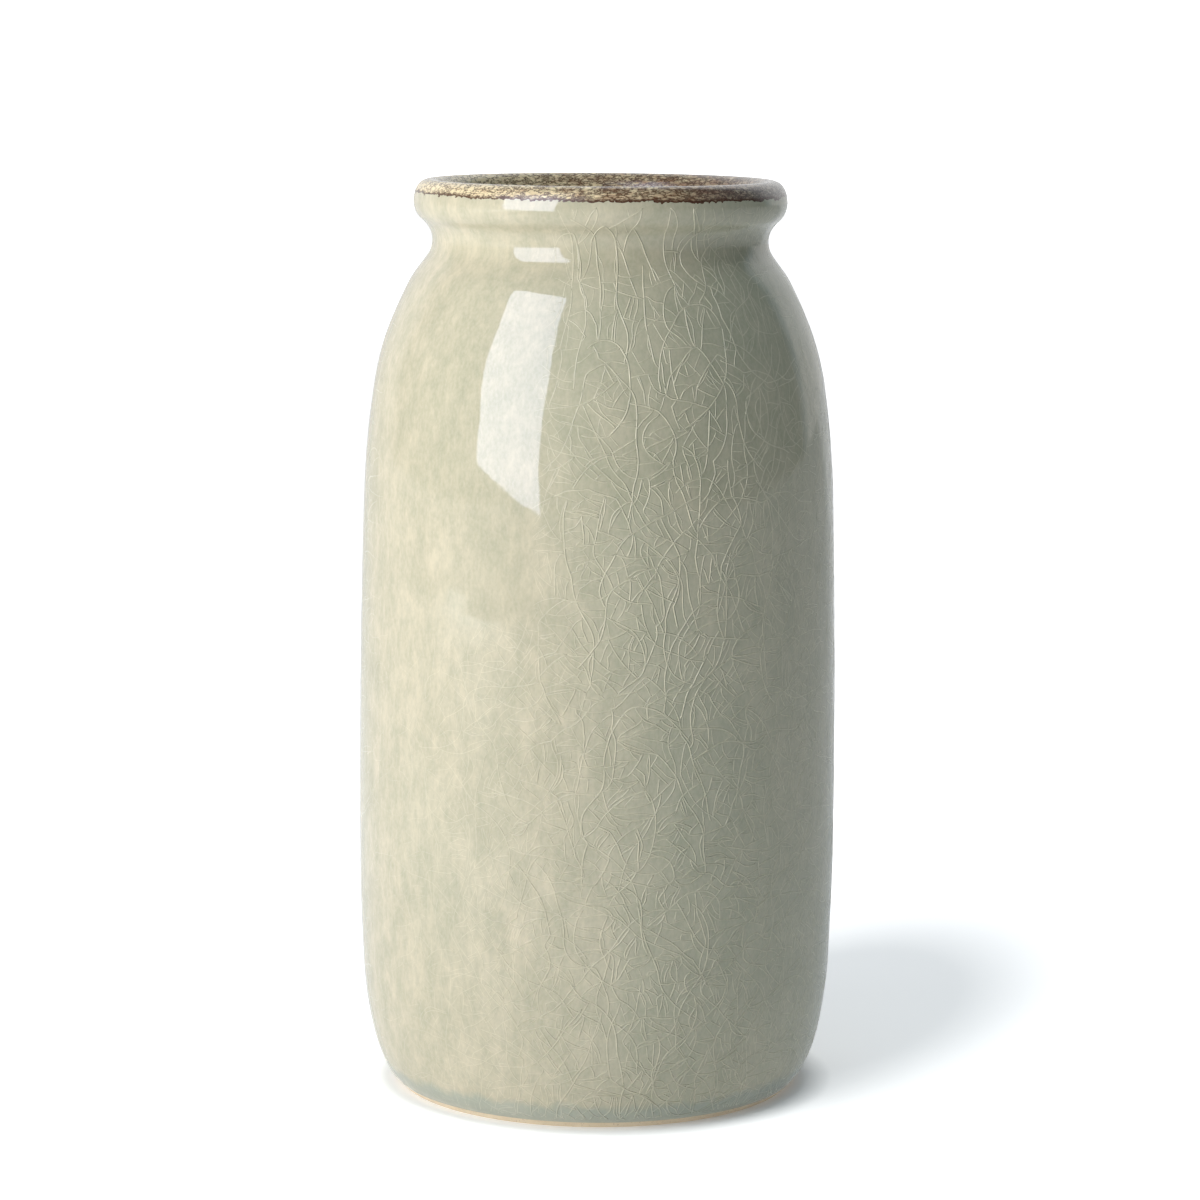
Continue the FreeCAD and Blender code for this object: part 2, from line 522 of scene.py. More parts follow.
def grow(chance, across, up, heading, reach, boldness):
    """Paths of cracks that start at (across, up) in mm, with headings in radians from upright.

    At each stride a heading wanders a little and now and then kinks, and it turns towards a
    crack that runs close beside it. A crack stops at its reach, at the edge of the glaze, or
    at another crack unless it is one of the bold share, which cross. Returns the points of
    all the cracks in order, the number of the crack that each belongs to, and the headings.
    """
    count = len(across)
    name = np.arange(count) + marks.max() + 1
    crosses = chance.random(count) < boldness
    pull = np.where(crosses, drawn_in_crossing, drawn_in)
    x, y, angle, turning = across.copy(), up.copy(), heading.copy(), np.zeros(count)
    alive = np.ones(count, bool)
    track = [(x, y, angle)]
    lives = [alive]
    for age in range(int(reach.max() / stride)):
        turning = wander_kept * turning + wander * chance.standard_normal(count)
        bend = np.where(chance.random(count) < kink_chance, chance.normal(0, kink, count), 0)
        beside = others_aside(x, y, angle, name, near_aside)
        beside = beside + others_aside(x, y, angle, name, far_aside)
        angle = angle + turning + bend + np.where(age > 6, pull * np.sign(beside), 0)
        x = x + np.where(alive, stride * np.sin(angle), 0)
        y = y + np.where(alive, stride * np.cos(angle), 0)
        there = marks[mark_at(x, y)]
        met = (there != 0) & (there != name) & (age > 2)
        lives.append(alive & (y > bare_low) & (y < rise[-1] - bare_high))
        track.append((x, y, angle))
        alive = lives[-1] & ~(met & ~crosses) & (age * stride < reach)
        marks[mark_at(x[alive], y[alive])] = name[alive]
    keep = np.array(lives).T
    x, y, angle = (values.T[keep] for values in np.array(track).transpose(1, 0, 2))
    return np.stack([x, y], axis=-1), np.repeat(name, keep.sum(axis=1)), angle


print("A crack 20 mm long takes", round(20 / stride), "strides")

# %% [markdown]
# The vase was pulled up on the wheel and its glaze ran down, so most of the first cracks
# stand upright. Others lean, more of them to the right than to the left, as on the
# photographed vase, and a few more upright ones open on the shoulder and the neck.

# %% The first cracks
chance = np.random.default_rng(11)


def first_cracks(count, low, high, heading, spread, shortest, longest):
    """Cracks that open all round between two heights and run both ways from there."""
    across = (np.arange(count) + chance.random(count)) * glaze_girth / count
    up = chance.uniform(low, high, count)
    heading = chance.normal(heading, spread, count)
    across, up = np.tile(across, 2), np.tile(up, 2)
    heading = np.concatenate([heading, heading + np.pi])
    reach = chance.uniform(shortest, longest, 2 * count)
    return grow(chance, across, up, heading, reach, 0.25)


upright = first_cracks(170, 3, rise[-1] - 12, 0.0, 0.15, 12, 60)
upright_high = first_cracks(48, 215, rise[-1] - 12, 0.0, 0.10, 15, 45)
rising = first_cracks(110, 6, 210, 0.80, 0.25, 10, 40)
falling = first_cracks(75, 6, 210, -0.80, 0.25, 8, 30)
generations = [upright, upright_high, rising, falling]
print("First cracks:", round(sum(len(g[0]) for g in generations) * stride / 1000, 1), "m")

# %% [markdown]
# A later crack opens where the glaze is still in tension, which is where no other crack runs
# close by. So each place on an older line looks a gap ahead, square to the line and to both
# sides of that, and a crack starts only where the way is clear.

# %% Look for room
first_look = 1.5
look_ahead = 1.5
upright_extra = 0.33
aside_radians = 0.9
room_aside = 0.45


def clear_way(across, up, heading, farthest):
    """How far, in mm, a straight way from each place runs before it meets a mark."""
    far = np.arange(first_look, farthest, stride)[:, None]
    marked = marks[mark_at(across + far * np.sin(heading), up + far * np.cos(heading))] != 0
    return np.where(marked.any(axis=0), far[marked.argmax(axis=0), 0], farthest)


def has_room(across, up, heading, gap):
    """Whether the way ahead is clear for a gap, or a third more where it leads up or down, and
    the ways to both sides of it for nearly half a gap."""
    needed = gap * (1 + upright_extra * abs(np.cos(heading)))
    free = clear_way(across, up, heading, look_ahead * gap) >= needed
    free &= clear_way(across, up, heading - aside_radians, gap) >= room_aside * gap
    return free & (clear_way(across, up, heading + aside_radians, gap) >= room_aside * gap)


places = (np.linspace(0, 400, 5), np.full(5, 100.0), np.zeros(5))
print("Room for a crack in gaps of 8 mm:", has_room(*places, 8))

# %% [markdown]
# Places on older lines are tried at random, twenty for each square as wide as the gap, but
# one crack at most starts in a square. On the real vase there are fewer on the shoulder, and
# hardly any run level round the neck.

# %% Start the later cracks
tries_per_square = 20
longest_reach = 60.0


def later_cracks(older, gap, boldness):
    """Cracks that leave older ones, square to them give or take a quarter of a radian, where
    there is room for a gap."""
    place, _, angle = (np.concatenate(parts) for parts in zip(*older))
    tries = int(tries_per_square * glaze_girth * rise[-1] / gap ** 2)
    pick = chance.integers(0, len(place), tries)
    across, up = place[pick].T
    side = chance.choice([-1, 1], tries) * np.pi / 2
    heading = angle[pick] + side + chance.normal(0, 0.25, tries)
    steep = abs(np.sin(heading)) < 0.6
    level_share = np.interp(up, [215, 270], [0.5, 0.12])
    shoulder_share = np.interp(up, [200, 235], [1.0, 0.3])
    free = has_room(across, up, heading, gap)
    free &= steep | (chance.random(tries) < level_share)
    free &= chance.random(tries) < shoulder_share
    square = np.floor(across / gap) * 1000 + np.floor(up / gap)
    starts = np.flatnonzero(free)[np.unique(square[free], return_index=True)[1]]
    reach = np.full(len(starts), longest_reach)
    return grow(chance, across[starts], up[starts], heading[starts], reach, boldness)


# %% [markdown]
# Eight more generations fill gaps from 24 mm down to 4.4 mm, so that the lines end up three
# to eight millimetres apart, as on the real vase. Early ones sometimes cross an older line,
# and the last never do.

# %% Grow the later cracks
gaps = [24, 16, 12, 9, 7.5, 6.2, 5.2, 4.4]
boldnesses = [0.3, 0.25, 0.15, 0.1, 0.05, 0.0, 0.0, 0.0]
for gap, boldness in zip(gaps, boldnesses):
    generations.append(later_cracks(generations, gap, boldness))
    length = len(generations[-1][0]) * stride / 1000
    print("Gaps of", gap, "mm:", round(length, 1), "m of new line")

# %% [markdown]
# ## Ridges along the lines
#
# The healed edges of a crack stand up a little, and that relief shows where light grazes it.
# In the photograph it is strong in the middle and to the right of it, and nearly gone on the left,
# where the light meets the glaze square on, and at the right edge. The tables give that strength by
# the degrees round the vase, for the upper part and the lower one. They are read off the
# photograph, and for the back, which it doesn't show, they are a guess.

# %% How strongly the lines stand out
relief_degrees = [-180, -145, -125, -106, -96, -84, -60, -44, -20, 0, 30, 150, 180]
relief_high = [0.20, 0.05, 0.05, 0.05, 0.90, 1.35, 1.25, 0.50, 0.25, 0.30, 1.00, 1.00, 0.20]
relief_low = [0.10, 0.10, 0.20, 0.70, 0.95, 1.20, 1.10, 0.50, 0.25, 0.30, 1.00, 1.00, 0.10]


def craze_relief(path):
    """Strength at places in mm round the vase and up it: the upper table above 170 mm, the
    lower one below 145 mm, a blend between them, and a little less on the shoulder."""
    degrees = np.mod(np.degrees(path[:, 0] / belly.real) + 180, 360) - 180
    above = np.interp(path[:, 1], [145, 170], [0, 1])
    strength = above * np.interp(degrees, relief_degrees, relief_high)
    strength = strength + (1 - above) * np.interp(degrees, relief_degrees, relief_low)
    return strength * np.interp(path[:, 1], [200, 250], [1.0, 0.85])


front = -math.pi / 2 * belly.real
low_and_high = np.array([[front, 100], [front, 200]])
print("Strength in front, low and high up:", craze_relief(low_and_high).round(2))

# %% [markdown]
# Each path becomes a ridge: a closed strip with three corners, two feet just under the glaze
# and a crest on top. A real line is about 0.3 mm wide, thinner than a pixel of the render, so
# the ridges are drawn 0.6 to 0.85 mm wide at their feet, as coarse as they need to be to show.
# A curve with a bevel would need an object for each line. Here all ridges of one piece are
# worked out at once.

# %% Lay a path on the glaze
foot_depth = 0.09
end_taper = 0.45
highest_crest = 0.18


def on_glaze(across, up, height):
    """Points on the waved skin, and height mm above it, for places in mm round and up it."""
    turn = across / belly.real
    spot = np.interp(up, rise, skin_line.real) + 1j * np.interp(up, rise, skin_line.imag)
    normal = outward(skin_line)
    normal = np.interp(up, rise, normal.real) + 1j * np.interp(up, rise, normal.imag)
    spot = (spot + normal * (glaze_waves(turn, up) + height)) * MM
    return np.stack([spot.real * np.cos(turn), spot.real * np.sin(turn), spot.imag], axis=-1)


def thinned(path, line):
    """Every second point of each line and its last, without the lines of a single point.
    Also says of each point whether it starts or ends its line."""
    starts = np.concatenate([[True], line[1:] != line[:-1]])
    ends = np.concatenate([starts[1:], [True]])
    number = np.arange(len(path))
    since_start = number - np.maximum.accumulate(np.where(starts, number, 0))
    keep = ((since_start % 2 == 0) | ends) & ~(starts & ends)
    return tuple(values[keep] for values in (path, line, starts, ends))


print("Places in front, in metres:", on_glaze(*low_and_high.T, 0.0).round(4).tolist())

# %% [markdown]
# At every point kept, the ridge has a left foot, a crest and a right foot, set square to the
# path. The first and the last are smaller, so that a line tapers off.

# %% Raise a ridge along each line
def ridges(path, line, width, height):
    """Points and faces of ridges: left foot, crest and right foot at each point of the paths,
    with quads between neighbours on one line and a triangle at each end."""
    path, line, starts, ends = thinned(path, line)
    number = np.arange(len(path))
    taper = np.where(starts | ends, end_taper, 1.0)
    size = 0.7 + 0.6 * np.random.default_rng(2).random(line.max() + 1)[line]
    before = np.where(starts[:, None], path, np.roll(path, 1, axis=0))
    after = np.where(ends[:, None], path, np.roll(path, -1, axis=0))
    girth_share = np.interp(path[:, 1], rise, skin_line.real) / belly.real
    along = (after - before) * np.stack([girth_share, np.ones(len(path))], axis=-1)
    along = along / np.linalg.norm(along, axis=-1, keepdims=True)
    aside = np.stack([-along[:, 1] / girth_share, along[:, 0]], axis=-1)
    half = aside * (width / 2 * taper)[:, None]
    crest_height = height * taper * size * craze_relief(path) - 0.015
    left = on_glaze(*(path + half).T, -foot_depth)
    top = on_glaze(*path.T, np.minimum(crest_height, highest_crest))
    right = on_glaze(*(path - half).T, -foot_depth)
    a = 3 * number[:-1][~starts[1:]]
    pairs = ((0, 1), (1, 2), (2, 0))
    sides = [np.stack([a + i, a + 3 + i, a + 3 + j, a + j], axis=-1) for i, j in pairs]
    first, last = 3 * number[starts], 3 * number[ends]
    caps = [np.stack([first, first + 1, first + 2], -1), np.stack([last + 2, last + 1, last], -1)]
    points = np.stack([left, top, right], axis=1).reshape(-1, 3)
    return points, np.concatenate(sides).tolist() + np.concatenate(caps).tolist()


# %% [markdown]
# Old cracks are the widest and highest. The generations go into five pieces, each under
# 200,000 triangles.

# %% Ridges on the glaze
craze_pieces = [
    # name, first generation and the one after the last, width and height in mm
    ("craze_lines_first", 0, 4, 0.85, 0.170),
    ("craze_lines_long", 4, 7, 0.82, 0.170),
    ("craze_lines_middle", 7, 9, 0.78, 0.165),
    ("craze_lines_short", 9, 11, 0.72, 0.150),
    ("craze_lines_fine", 11, 12, 0.62, 0.120),
]
crazing = []
for name, first, last, width, height in craze_pieces:
    places, numbers, _ = (np.concatenate(parts) for parts in zip(*generations[first:last]))
    crazing.append(add_piece(name, *ridges(places, numbers, width, height), "crackle_glaze"))

# %% [markdown]
# ## Nodes and colours
#
# Colours are picked as sRGB hex values, as in any paint program, and Blender's nodes want
# them linear, so one function turns them. A second one adds a node with its settings and
# links, and every material below is made with it.

# %% Colour and node helpers
def colour(code):
    """sRGB hex to linear RGBA: values over 0.04045 are ((v + 0.055) / 1.055) to the power 2.4."""
    values = [int(code[i:i + 2], 16) / 255 for i in (1, 3, 5)]
    linear = [v / 12.92 if v <= 0.04045 else ((v + 0.055) / 1.055) ** 2.4 for v in values]
    return (*linear, 1.0)


def add_node(tree, kind, *values, output=None, **named):
    """Adds a node and returns its named output, or else the first one in use.

    Values without a name go to its first inputs in turn. A name in small letters is a
    setting, and one with a capital is an input, with _ for a space. The output of another
    node is linked to the input, and any other value is set there.
    """
    node = tree.nodes.new("ShaderNode" + kind)
    for name in [name for name in named if name.islower()]:
        setattr(node, name, named.pop(name))
    sockets = [socket for socket in node.inputs if socket.enabled]
    first_named = {socket.name.replace(" ", "_"): socket for socket in reversed(sockets)}
    filled = list(zip(sockets, values)) + [(first_named[name], named[name]) for name in named]
    for socket, value in filled:
        if isinstance(value, bpy.types.NodeSocket):
            tree.links.new(value, socket)
        else:
            socket.default_value = value
    return node.outputs[output] if output else next((s for s in node.outputs if s.enabled), None)


print("The grey #808080 is", round(colour("#808080")[0], 3), "in linear light")

# %% [markdown]
# A pattern's scale comes from a real size. Dividing the place on the vase by that size makes
# a texture of scale 1 draw features as large, and a size of its own upwards draws them out
# the way glaze runs.

# %% Start a material, scale a pattern, give a finish to its pieces
def new_material(name):
    """An empty material: its node tree and a node for its surface, which gets linked last."""
    material = bpy.data.materials.new(name)
    material.use_nodes = True
    material.node_tree.nodes.clear()
    return material, material.node_tree


def place_along(tree, axis):
    """How far along an axis a place lies from the middle of the foot, in metres."""
    place = add_node(tree, "TexCoord", output="Object")
    return add_node(tree, "SeparateXYZ", Vector=place, output=axis)


def stretched(tree, across_mm, up_mm):
    """Object coordinates in cells of across_mm by up_mm, so that a texture of scale 1 has
    features of that size."""
    place = add_node(tree, "TexCoord", output="Object")
    cells = (1 / (across_mm * MM), 1 / (across_mm * MM), 1 / (up_mm * MM))
    return add_node(tree, "Mapping", Vector=place, Scale=cells)


def give(material, surface, meshes):
    """Links the surface to the material's output and puts the material on the meshes."""
    add_node(material.node_tree, "OutputMaterial", Surface=surface)
    for mesh in meshes:
        mesh.materials.clear()
        mesh.materials.append(material)
    print(material.name, "has", len(material.node_tree.nodes), "nodes, on", len(meshes), "mesh(es)")


print("A pattern 8 mm wide repeats", round(1 / (8 * MM)), "times in a metre")

# %% [markdown]
# ## Celadon crackle glaze
#
# The glaze is a glassy coat, coloured green-grey by a little iron and fired with little air.
# It is glossy, with an index of refraction near 1.55, and what varies is its colour: thin
# places show the warm clay, thick ones are greener, and all of it has run downwards, so its
# patches stand about twice as tall as wide and its streaks more than four times. One picture
# of the glaze could carry all that, but noise patterns laid over each other do it at any size.

# %% Lay patterns over a colour
glaze_ground = "#B9B39B"
run_patterns = [
    # mm across and up, detail and roughness, noise where it starts and is full, most, colour
    ((8, 15), (4.0, 0.65), (0.36, 0.64), 1.0, "#CFC5AD"),  # warm patches over thin glaze
    ((1.6, 7), (3.0, 0.6), (0.42, 0.75), 0.45, "#B3AD95"),  # streaks where it ran
]
fine_patterns = [
    ((3.2, 5.0), (3.0, 0.7), (0.42, 0.62), 0.30, "#A5A38E"),  # blotches of greener glaze
    ((0.9, 1.5), (2.0, 0.6), (0.38, 0.62), 0.16, "#DED4BF"),  # pale flecks
]


def pattern_share(tree, size, grain, span, most):
    """How much of a pattern shows at each place, from 0 to most: a noise with features of a
    size in mm and a grain (detail, roughness), brought from its span to that range."""
    cells = stretched(tree, *size)
    noise = add_node(tree, "TexNoise", Vector=cells, Scale=1.0, Detail=grain[0], Roughness=grain[1])
    return add_node(tree, "MapRange", Value=noise, From_Min=span[0], From_Max=span[1], To_Max=most)


def mottled(tree, base, patterns):
    """The base colour with each pattern laid over it in its own colour."""
    for *pattern, code in patterns:
        share = pattern_share(tree, *pattern)
        base = add_node(tree, "Mix", Factor=share, A=base, B=colour(code), data_type="RGBA")
    return base


print("Patterns over the glaze's ground:", len(run_patterns + fine_patterns))

# %% [markdown]
# Two things aren't chance. Towards the right, the side away from the lamps, the glaze is painted
# greener and darker all over, which is painted shade. And just above the foot it pools in a darker,
# bluer band, whose upper edge wobbles by 3 mm.

# %% Painted shade on one side, and the pool above the foot
side_shade_from, side_shade_full = -20, 40
pool_full, pool_edge = 6.5, 9.5
pool_wobble = 3


def clouds_and_side_shade(tree, base):
    """The base with green in cloudy places, and ever more of it as painted shade from 20 mm left of
    the middle to 40 mm right of it, the side away from the lamps."""
    clouds = pattern_share(tree, (55, 120), (2.0, 0.5), (0.45, 0.70), 0.25)
    side = place_along(tree, "X")
    span = {"From_Min": side_shade_from * MM, "From_Max": side_shade_full * MM}
    # Painted shade: ever more green towards the right, the side away from the lamps.
    side_shade = add_node(tree, "MapRange", Value=side, **span, To_Max=0.35)
    share = add_node(tree, "Math", clouds, side_shade, operation="ADD")
    return add_node(tree, "Mix", Factor=share, A=base, B=colour("#9CA38F"), data_type="RGBA")


def pooled(tree, base):
    """The base with a blue-grey pool that fades out from 6.5 to 9.5 mm above the table."""
    wobble = add_node(tree, "TexNoise", Vector=stretched(tree, 7, 9), Scale=1.0, Detail=2.0)
    reach = {"To_Min": -pool_wobble * MM, "To_Max": pool_wobble * MM}
    wobble = add_node(tree, "MapRange", Value=wobble, **reach)
    level = add_node(tree, "Math", place_along(tree, "Z"), wobble, operation="ADD")
    span = {"From_Min": pool_edge * MM, "From_Max": pool_full * MM}
    share = add_node(tree, "MapRange", Value=level, **span, To_Max=0.5)
    return add_node(tree, "Mix", Factor=share, A=base, B=colour("#8F9D99"), data_type="RGBA")


def glaze_colour(tree):
    """Colour of the glaze: patches and streaks, then green clouds and the painted shade on the
    right side, then blotches and flecks over both, and the pool over all."""
    base = mottled(tree, colour(glaze_ground), run_patterns)
    base = mottled(tree, clouds_and_side_shade(tree, base), fine_patterns)
    return pooled(tree, base)


print("The pool fades out between", pool_full, "and", pool_edge, "mm above the table")

# %% [markdown]
# The gloss is that of glass, with a faint orange peel 2 mm wide that breaks up the edges of
# reflections, and it varies a little where the glaze ran.

# %% Glaze material
glaze_material, tree = new_material("celadon_crackle_glaze")
peel = add_node(tree, "TexNoise", Vector=stretched(tree, 1.6, 2.4), Scale=1.0, Detail=2.0)
peel = add_node(tree, "Bump", Strength=0.25, Distance=0.04 * MM, Height=peel)
gloss = add_node(tree, "TexNoise", Vector=stretched(tree, 6, 18), Scale=1.0, Detail=2.0)
gloss = add_node(tree, "MapRange", Value=gloss, To_Min=0.02, To_Max=0.06)
tone = glaze_colour(tree)
surface = add_node(tree, "BsdfPrincipled", Base_Color=tone, Roughness=gloss, IOR=1.55, Normal=peel)
give(glaze_material, surface, [glaze.data])

# %% [markdown]
# ## Healed craze lines
#
# The edges of a healed crack are the same glaze, thinner and paler, and rough enough to catch light
# over their whole width. From left of the middle towards the right they are paler still.

# %% Craze line material
craze_material, tree = new_material("healed_craze_glaze")
side = place_along(tree, "X")
span = {"From_Min": -45 * MM, "From_Max": -5 * MM}
pale = add_node(tree, "MapRange", Value=side, **span, To_Min=0.10, To_Max=0.17)
tone = glaze_colour(tree)
tone = add_node(tree, "Mix", Factor=pale, A=tone, B=colour("#EDE6CE"), data_type="RGBA")
surface = add_node(tree, "BsdfPrincipled", Base_Color=tone, Roughness=0.3, IOR=1.5)
give(craze_material, surface, [piece.data for piece in crazing])

# %% [markdown]
# ## Plain celadon inside
#
# The inside has the same glaze, poured and left smooth. It lies thicker there, so it is a
# little greener, in soft clouds, and less glossy than outside.

# %% Liner material
liner_material, tree = new_material("celadon_liner_glaze")
clouds = add_node(tree, "TexNoise", Vector=stretched(tree, 12, 30), Scale=1.0, Detail=3.0)
greens = {"A": colour("#9FA694"), "B": colour("#BFC1AC")}
tone = add_node(tree, "Mix", Factor=clouds, **greens, data_type="RGBA")
surface = add_node(tree, "BsdfPrincipled", Base_Color=tone, Roughness=0.12, IOR=1.5)
give(liner_material, surface, [liner.data])

# %% [markdown]
# ## Iron wash
#
# Iron oxide brushed over the glaze melts into it unevenly: dark brown where it lies thin at the
# edge and along fine veins, tan to cream where it has sunk into thick glaze. Veins could be the
# borders of Voronoi cells, but those look like a net. Here they are the lines where a noise
# stretched along the lip, as the brush went, passes its middle value. They lie one to three
# millimetres apart, and they are drawn wider towards the right, away from the lamps, which paints
# shade there.

# %% Veins of the wash
wash_material, tree = new_material("brushed_iron_wash")
side = place_along(tree, "X")
cells = stretched(tree, 3.2, 1.2)
web = add_node(tree, "TexNoise", Vector=cells, Scale=1.0, Detail=5.0, Roughness=0.66)
web = add_node(tree, "Math", web, 0.5, operation="SUBTRACT")
web = add_node(tree, "Math", web, operation="ABSOLUTE")
# Painted shade: the dark veins widen towards the right, away from the lamps.
span = {"From_Min": -60 * MM, "From_Max": 40 * MM}
vein_width_and_shade = add_node(tree, "MapRange", Value=side, **span, To_Min=0.035, To_Max=0.12)
off_vein = add_node(tree, "MapRange", Value=web, From_Min=0.0, From_Max=vein_width_and_shade)
print("The veins take", len(tree.nodes), "nodes")

# %% [markdown]
# Between the veins the wash is tan, and it is painted paler towards the left, where the lamps light
# it: painted light.

# %% Tan and cream places
cells = stretched(tree, 5, 1.6)
tan = add_node(tree, "TexNoise", Vector=cells, Scale=1.0, Detail=4.0, Roughness=0.7)
# Painted light: the tan turns paler towards the left, the lamp side.
span = {"From_Min": -60 * MM, "From_Max": 60 * MM}
painted_light_lean = add_node(tree, "MapRange", Value=side, **span, To_Min=0.25, To_Max=-0.12)
tan = add_node(tree, "Math", tan, painted_light_lean, operation="ADD")
tan = add_node(tree, "MapRange", Value=tan, From_Min=0.34, From_Max=0.66)
tans = {"A": colour("#966E53"), "B": colour("#EBD8B2")}
tan = add_node(tree, "Mix", Factor=tan, **tans, data_type="RGBA")
veined = add_node(tree, "Mix", Factor=off_vein, A=colour("#46291B"), B=tan, data_type="RGBA")
print("With the tan places they take", len(tree.nodes), "nodes")

# %% [markdown]
# On the far right the wash is grey, pale between dark grey veins, and all along its edge, where it
# is thin, the depth kept on the mesh turns it dark brown.

# %% Wash material
span = {"From_Min": 25 * MM, "From_Max": 58 * MM}
ash = add_node(tree, "MapRange", Value=side, **span, To_Max=0.7)
greys = {"A": colour("#756E69"), "B": colour("#BDB4A9")}
ashen = add_node(tree, "Mix", Factor=off_vein, **greys, data_type="RGBA")
tone = add_node(tree, "Mix", Factor=ash, A=veined, B=ashen, data_type="RGBA")
depth = add_node(tree, "Attribute", attribute_name="wash_depth", output="Fac")
span = {"From_Min": 0.3, "From_Max": 1.0}
edge = add_node(tree, "MapRange", Value=depth, **span, To_Min=0.9, To_Max=0.0)
tone = add_node(tree, "Mix", Factor=edge, A=tone, B=colour("#4E3226"), data_type="RGBA")
grain = add_node(tree, "Bump", Strength=0.3, Distance=0.1 * MM, Height=off_vein)
surface = add_node(tree, "BsdfPrincipled", Base_Color=tone, Roughness=0.06, IOR=1.6, Normal=grain)
give(wash_material, surface, [wash.data])

# %% [markdown]
# ## Bare stoneware
#
# The foot is wiped clean before firing so that it doesn't stick to the kiln shelf. The clay
# there is matt and peach to buff, with brown grit of half a millimetre that also roughens it.
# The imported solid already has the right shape, so it only gets this material.

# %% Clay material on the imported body
clay_material, tree = new_material("bare_buff_stoneware")
grit = add_node(tree, "TexNoise", Vector=stretched(tree, 0.6, 0.6), Scale=1.0, Detail=3.0)
flush = add_node(tree, "TexNoise", Vector=stretched(tree, 9, 9), Scale=1.0, Detail=2.0)
buffs = {"A": colour("#DCC9AC"), "B": colour("#E6D6BC")}
tone = add_node(tree, "Mix", Factor=flush, **buffs, data_type="RGBA")
speck = add_node(tree, "MapRange", Value=grit, From_Min=0.62, From_Max=0.72, To_Max=0.6)
tone = add_node(tree, "Mix", Factor=speck, A=tone, B=colour("#8A6E54"), data_type="RGBA")
tooth = add_node(tree, "Bump", Strength=0.6, Distance=0.2 * MM, Height=grit)
surface = add_node(tree, "BsdfPrincipled", Base_Color=tone, Roughness=0.85, Normal=tooth)
give(clay_material, surface, [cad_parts["clay_body"].data])

# %% [markdown]
# ## The studio
#
# The photograph has one softbox close on the left, a white sheet behind and under the vase,
# and a dim room in front of it. A glossy pot shows the outline of its softbox, and this one
# isn't quite a rectangle, as sagging cloth makes it. So it is a sheet with four corners of its
# own, each found by following the line of sight from the corner of its reflection on the
# body. The sheet is seen in reflections only. What it sheds on the vase comes from a lamp.

# %% Softbox
softbox_place = (-0.378, -0.425, 0.508)
softbox_corners = [(-0.200, 0.310, 0), (-0.190, -0.282, 0), (0.160, -0.335, 0), (0.172, 0.322, 0)]
softbox_turn_degrees = -38.0
softbox_down_degrees = 8.9

softbox_mesh = bpy.data.meshes.new("softbox")
softbox_mesh.from_pydata(softbox_corners, [], [(0, 1, 2, 3)])
softbox = bpy.data.objects.new("softbox", softbox_mesh)
turn_to_vase = Matrix.Rotation(math.radians(softbox_turn_degrees), 4, "Z")
tip_down = Matrix.Rotation(math.radians(90 - softbox_down_degrees), 4, "X")
softbox.matrix_world = Matrix.Translation(softbox_place) @ turn_to_vase @ tip_down
softbox.visible_camera = False
softbox.visible_diffuse = False
softbox.visible_shadow = False
bpy.context.scene.collection.objects.link(softbox)

cloth_material, tree = new_material("lit_white_cloth")
give(cloth_material, add_node(tree, "Emission", (0.76, 0.80, 1.0, 1), 6.8), [softbox_mesh])

# %% [markdown]
# Three lamps shape the vase: one in the place of the softbox, a large diffuser farther left
# that lights it evenly from top to bottom, and a cool one overhead for what the ceiling sends
# back. The photograph shows no reflection of the last two, so all are kept out of reflections.

# %% Lamps that shape the vase but don't show on it
def add_lamp(name, width, height, brightness, tone, place):
    """A rectangular lamp, sizes in metres, that is kept out of the reflections."""
    lamp = bpy.data.lights.new(name, "AREA")
    lamp.shape = "RECTANGLE"
    lamp.size = width
    lamp.size_y = height
    lamp.energy = brightness
    lamp.color = tone
    lamp_object = bpy.data.objects.new(name, lamp)
    lamp_object.matrix_world = place
    lamp_object.visible_glossy = False
    bpy.context.scene.collection.objects.link(lamp_object)
    print(name, "gives", brightness, "W")


diffuser_place = Matrix.Rotation(math.radians(-62.0), 4, "Z") @ Matrix.Translation((0, -1.6, 0.15))
diffuser_place = diffuser_place @ Matrix.Rotation(math.radians(90), 4, "X")
ceiling_place = Matrix.Translation((0.35, -0.25, 1.7))
softbox_tone = (0.97, 0.965, 0.92)
add_lamp("softbox_light", 0.36, 0.63, 2.95, softbox_tone, softbox.matrix_world.copy())
add_lamp("diffuser", 0.8, 0.8, 12.4, (0.97, 0.98, 0.985), diffuser_place)
add_lamp("ceiling_bounce", 1.2, 1.2, 6.0, (0.75, 0.90, 1.0), ceiling_place)

# %% [markdown]
# ## Paper under the vase
#
# The vase stands on white paper that runs into the background. The camera sees that paper,
# and the vase sees another sheet just under it, so the two can be set apart.

# %% Sheets of paper
paper_reach = 6
white = (1, 1, 1, 1)
glowing_paper = {"Base_Color": (0.9, 0.9, 0.9, 1), "Emission_Color": white}


def add_sheet(name, z):
    """A square sheet at height z, in metres, which is part of the studio."""
    near, far = -paper_reach, paper_reach
    corners = [(near, near, z), (far, near, z), (far, far, z), (near, far, z)]
    mesh = bpy.data.meshes.new(name)
    mesh.from_pydata(corners, [], [(0, 1, 2, 3)])
    sheet = bpy.data.objects.new(name, mesh)
    bpy.context.scene.collection.objects.link(sheet)
    return sheet


print("Each sheet reaches", paper_reach, "m to every side of the vase")
